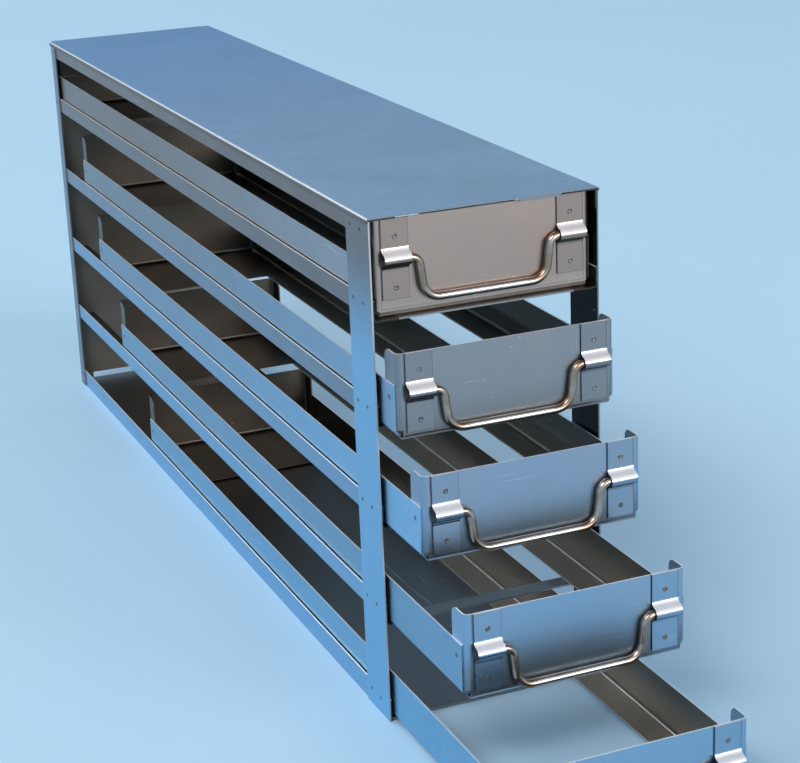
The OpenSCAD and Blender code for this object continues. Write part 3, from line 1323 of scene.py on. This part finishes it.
@dataclass
class Studio:
    """Pale floor, soft light and the camera."""

    floor_tone: Colour = (0.48, 0.70, 0.87)
    floor_dull: float = 0.93
    floor_clouds: float = 0.7
    floor_fibres: float = 0.3
    floor_roughness: float = 0.82
    fibre_rough: float = 0.1
    floor_bump: float = 0.02 * MM
    floor_half: float = 16.0
    floor_squares: int = 4
    ceiling_tone: Colour = (0.10, 0.11, 0.13)
    ceiling_from: float = 0.75
    world_power: float = 1.38
    lens: float = 91.4808
    sensor: float = 36.0
    clip_end: float = 60.0
    camera_place: Point = (-0.45302, -1.23538, 0.56052)
    camera_turn: Point = (71.28492, 2.21001, -23.04925)
    lamps: tuple[Lamp, ...] = (
        Lamp("key_lamp", (-7.5, -6.5, 9.5), (0.0, -0.1, 0.15), 7.5, 5.5, 780.0),
        Lamp("rear_lamp", (-4.5, 9.5, 8.0), (0.0, 0.1, 0.15), 8.0, 4.0, 640.0),
        Lamp("wire_lamp", (-0.5, -6.5, 8.5), (0.0, -0.45, 0.15), 13.0, 2.25, 190.0),
        Lamp("front_lamp", (4.5, -11.0, 2.8), (0.0, -0.4, 0.15), 7.0, 4.0, 800.0, (1.0, 0.90, 0.82)),
    )

    def build(self) -> None:
        """Sets up the floor, the world, the lamps and the camera."""
        self._floor()
        self._world()
        for lamp in self.lamps:
            lamp.build()
        self._camera()
        bpy.context.scene.view_settings.view_transform = "Standard"

    def _floor(self) -> None:
        """Lays the floor under the rack's feet."""
        sheet = bmesh.new()
        squares = self.floor_squares
        bmesh.ops.create_grid(sheet, x_segments=squares, y_segments=squares, size=self.floor_half)
        mesh = bpy.data.meshes.new("studio_floor")
        sheet.to_mesh(mesh)
        sheet.free()
        floor = bpy.data.objects.new("studio_floor", mesh)
        bpy.context.scene.collection.objects.link(floor)
        mesh.materials.append(self._paper())
        LOG.info("floor of %.0f m", 2 * self.floor_half)

    def _paper(self) -> bpy.types.Material:
        """Makes the floor's pale paper.

        Returns:
            The finished material.
        """
        board = Surface("floor_paper")
        fibres = board.draw(FLOOR_FIBRES)
        clouds = board.draw(FLOOR_CLOUDS)
        darker = tuple(self.floor_dull * c for c in self.floor_tone)
        share = clouds * self.floor_clouds + fibres.swing(self.floor_fibres)
        colour = board.blend(share, self.floor_tone, darker)
        rough = self.floor_roughness + fibres.swing(self.fibre_rough)
        return board.finish(colour, rough, fibres, self.floor_bump, metal=0.0)

    def _world(self) -> None:
        """Makes the surroundings: pale at the horizon, dim overhead."""
        world = bpy.data.worlds.new("studio_world")
        bpy.context.scene.world = world
        world.use_nodes = True
        board = Board(world.node_tree)
        way = board.add("ShaderNodeTexCoord").outputs["Generated"]
        rise = board.add("ShaderNodeSeparateXYZ", None, {0: way}).outputs[2]
        ramp = board.add("ShaderNodeValToRGB", None, {0: rise})
        stops = ((0.0, self.floor_tone), (self.ceiling_from, self.ceiling_tone))
        for element, (at, tone) in zip(ramp.color_ramp.elements, stops):
            element.position = at
            element.color = (*tone, 1.0)
        lit = {"Color": ramp.outputs[0], "Strength": self.world_power}
        light = board.add("ShaderNodeBackground", None, lit)
        seen = board.add("ShaderNodeBackground", None, {"Color": self.floor_tone, "Strength": 1.0})
        direct = board.add("ShaderNodeLightPath").outputs["Is Camera Ray"]
        parts = {0: direct, 1: light.outputs[0], 2: seen.outputs[0]}
        choice = board.add("ShaderNodeMixShader", None, parts)
        board.add("ShaderNodeOutputWorld", None, {"Surface": choice.outputs[0]})

    def _camera(self) -> None:
        """Places the camera before the rack, to its left and above it."""
        data = bpy.data.cameras.new("rack_camera")
        data.lens = self.lens
        data.sensor_width = self.sensor
        data.sensor_fit = "HORIZONTAL"
        data.clip_end = self.clip_end
        camera = bpy.data.objects.new("rack_camera", data)
        camera.location = self.camera_place
        camera.rotation_euler = Euler([math.radians(turn) for turn in self.camera_turn], "XYZ")
        bpy.context.scene.collection.objects.link(camera)
        bpy.context.scene.camera = camera


def main() -> None:
    """Builds the rack's looks, sheet by sheet, and then the studio."""
    logging.basicConfig(level=logging.INFO, format="%(name)s: %(message)s")
    weld = WeldFinish("spot_weld").build()
    rear = REAR_STEEL.build()
    RackFrame(weld).build()
    for number, tones in enumerate(DRAWER_TONES, start=1):
        Drawer(number, tones, rear, weld).build()
        Handle(number).build()
    Studio().build()


if __name__ == "__main__":
    main()
